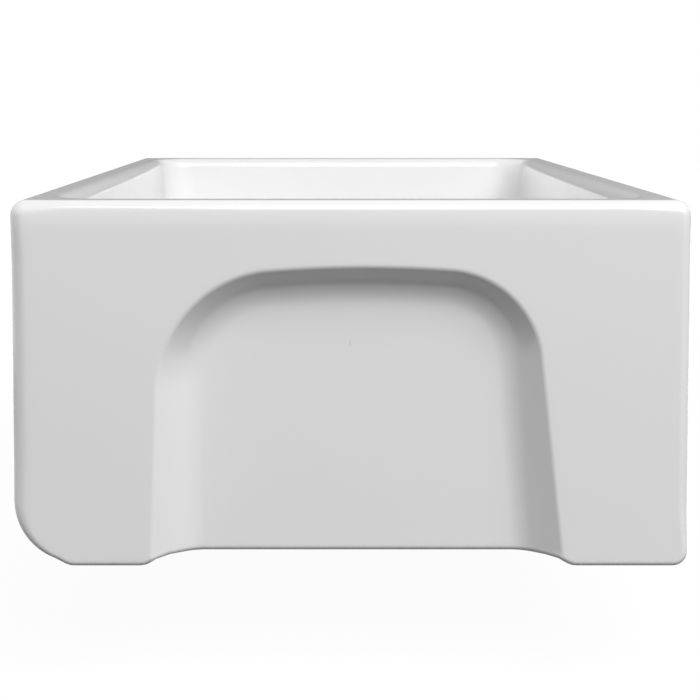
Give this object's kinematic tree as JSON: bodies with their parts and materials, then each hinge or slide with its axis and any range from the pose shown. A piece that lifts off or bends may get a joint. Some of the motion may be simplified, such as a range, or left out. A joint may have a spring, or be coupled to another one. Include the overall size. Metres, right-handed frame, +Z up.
{
  "type": "farmhouse apron front sink",
  "caption": "White glazed fireclay apron front sink with an arched alcove in each end, foot rails, and a basket strainer waste whose basket lifts out.",
  "frame": {"origin": "drain axis on the plane of the two foot rails, where the sink sits on its cabinet deck", "axes": "+X along the sink, -Y out of the apron face, +Z up to the rim"},
  "size_m": [0.762, 0.46, 0.3385],
  "materials": {
    "glazed_fireclay": "high gloss white glaze",
    "stainless_steel": "satin polished",
    "plated_brass": "polished plating",
    "cast_nut": "as cast and machined",
    "black_rubber": "matt",
    "fibre_board": "pressed fibre",
    "white_nylon": "moulded",
    "putty": "plumber's putty, set"
  },
  "bodies": {
    "sink": {"sink_body": "glazed_fireclay", "putty_ring": "putty", "strainer_body": "stainless_steel", "rubber_gasket": "black_rubber", "friction_ring": "fibre_board", "lock_nut": "cast_nut", "tailpiece_washer": "white_nylon", "tailpiece": "plated_brass", "coupling_nut": "plated_brass"},
    "basket": {"basket": "stainless_steel", "post_bush": "stainless_steel", "grip_ring": "black_rubber"},
    "stopper": {"stopper_post": "stainless_steel", "knob": "stainless_steel", "seal_plate": "stainless_steel", "stopper_seal": "black_rubber", "seal_nut": "plated_brass"}
  },
  "joints": [
    {"name": "basket_lift", "type": "slide", "parent": "sink", "child": "basket", "axis": [0, 0, 1], "range_m": [0, 0.3]},
    {"name": "stopper_pull", "type": "slide", "parent": "basket", "child": "stopper", "axis": [0, 0, 1], "range_m": [0, 0.009]}
  ]
}
